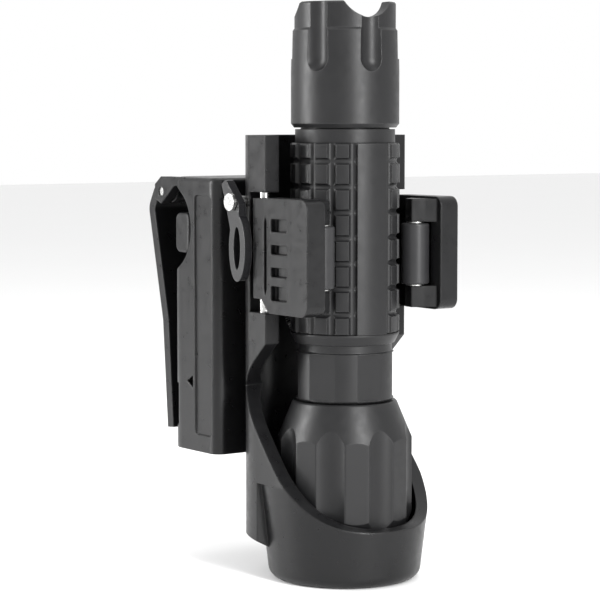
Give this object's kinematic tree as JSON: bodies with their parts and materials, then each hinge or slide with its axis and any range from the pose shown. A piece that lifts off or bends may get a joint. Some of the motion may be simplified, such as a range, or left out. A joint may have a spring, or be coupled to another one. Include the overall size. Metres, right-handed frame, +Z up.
{
  "type": "firefighter flashlight with swivelling belt holder",
  "caption": "Compact tactical flashlight held head down in a swivelling belt holder with spring clamp arms, rollers and a belt clip.",
  "frame": {"origin": "on the flashlight's axis at the flat underside of the holder's cup", "axes": "+Z up along the flashlight towards its tail cap, -Y towards the open front of the holder, +Y towards the belt, +X to the holder's right seen from its front"},
  "size_m": [0.0501, 0.0833, 0.146],
  "materials": {
    "anodised_black": "satin hard-anodised",
    "polymer_black": "satin moulded polymer",
    "lever_black": "glossy",
    "steel": "bright",
    "roller_black": "smooth",
    "button_rubber": "matt",
    "lens_glass": "clear",
    "reflector_bright": "polished",
    "module_brass": "turned",
    "emitter_yellow": "phosphor",
    "cell_wrap": "shrink film",
    "switch_plastic": "moulded"
  },
  "bodies": {
    "holder": {"holder_frame": "polymer_black", "hinge_pins": "steel", "swivel_post": "steel", "index_disc": "steel", "swivel_nut": "steel", "lever_pin": "steel", "left_arm_spring": "steel", "right_arm_spring": "steel"},
    "flashlight": {"battery_tube": "anodised_black", "grip_sleeve": "anodised_black", "lock_ring": "anodised_black", "lower_cell": "cell_wrap", "upper_cell": "cell_wrap"},
    "head": {"head_shell": "anodised_black", "bezel_ring": "anodised_black", "lens": "lens_glass", "reflector": "reflector_bright", "led_module": "module_brass", "led_emitter": "emitter_yellow"},
    "tail_cap": {"tail_cap": "anodised_black", "switch_module": "switch_plastic", "switch_ring": "steel", "tail_spring": "steel"},
    "tail_button": {"tail_button": "button_rubber"},
    "left_arm": {"left_arm": "polymer_black", "left_roller_pin": "steel"},
    "right_arm": {"right_arm": "polymer_black", "right_roller_pin": "steel"},
    "left_roller": {"left_roller": "roller_black"},
    "right_roller": {"right_roller": "roller_black"},
    "lock_lever": {"lock_lever": "lever_black"},
    "belt_clip": {"clip_body": "polymer_black", "gate_pin": "steel", "left_button_spring": "steel", "right_button_spring": "steel"},
    "clip_gate": {"clip_gate": "polymer_black"},
    "left_side_button": {"left_side_button": "polymer_black"},
    "right_side_button": {"right_side_button": "polymer_black"}
  },
  "joints": [
    {"name": "flashlight_lift", "type": "slide", "parent": "holder", "child": "flashlight", "axis": [0, 0, 1], "range_m": [0, 0.105]},
    {"name": "head_twist", "type": "hinge", "parent": "flashlight", "child": "head", "pos_m": [0, 0, 0.042], "axis": [0, 0, 1], "continuous": true},
    {"name": "tail_cap_twist", "type": "hinge", "parent": "flashlight", "child": "tail_cap", "pos_m": [0, 0, 0.12], "axis": [0, 0, 1], "continuous": true},
    {"name": "tail_button_press", "type": "slide", "parent": "tail_cap", "child": "tail_button", "axis": [0, 0, -1], "range_m": [0, 0.0018], "stiffness_N_per_m": 800, "springref_m": -0.001},
    {"name": "left_arm_open", "type": "hinge", "parent": "holder", "child": "left_arm", "pos_m": [-0.0201, 0.0068, 0.083], "axis": [0, 0, -1], "range_deg": [0, 35.5]},
    {"name": "right_arm_open", "type": "hinge", "parent": "holder", "child": "right_arm", "pos_m": [0.0201, 0.0068, 0.083], "axis": [0, 0, 1], "range_deg": [0, 35.5]},
    {"name": "left_roller_spin", "type": "hinge", "parent": "left_arm", "child": "left_roller", "pos_m": [-0.01501, -0.00975, 0.083], "axis": [0, 0, 1], "continuous": true},
    {"name": "right_roller_spin", "type": "hinge", "parent": "right_arm", "child": "right_roller", "pos_m": [0.01501, -0.00975, 0.083], "axis": [0, 0, 1], "continuous": true},
    {"name": "lock_lever_swing", "type": "hinge", "parent": "holder", "child": "lock_lever", "pos_m": [-0.0241, 0.0136, 0.096], "axis": [1, 0, 0], "range_deg": [0, 20]},
    {"name": "clip_swivel", "type": "hinge", "parent": "holder", "child": "belt_clip", "pos_m": [0, 0.0243, 0.066], "axis": [0, 1, 0], "continuous": true},
    {"name": "gate_open", "type": "hinge", "parent": "belt_clip", "child": "clip_gate", "pos_m": [0, 0.0513, 0.0976], "axis": [1, 0, 0], "range_deg": [0, 60], "stiffness_Nm_per_rad": 0.05, "springref_deg": -28.65},
    {"name": "left_button_press", "type": "slide", "parent": "belt_clip", "child": "left_side_button", "axis": [1, 0, 0], "range_m": [0, 0.001], "stiffness_N_per_m": 800, "springref_m": -0.001},
    {"name": "right_button_press", "type": "slide", "parent": "belt_clip", "child": "right_side_button", "axis": [-1, 0, 0], "range_m": [0, 0.001], "stiffness_N_per_m": 800, "springref_m": -0.001}
  ],
  "couplings": [
    {"joint": "left_arm_open", "follows": "flashlight_lift", "rad_per_m": 5.8},
    {"joint": "right_arm_open", "follows": "flashlight_lift", "rad_per_m": 5.8}
  ]
}
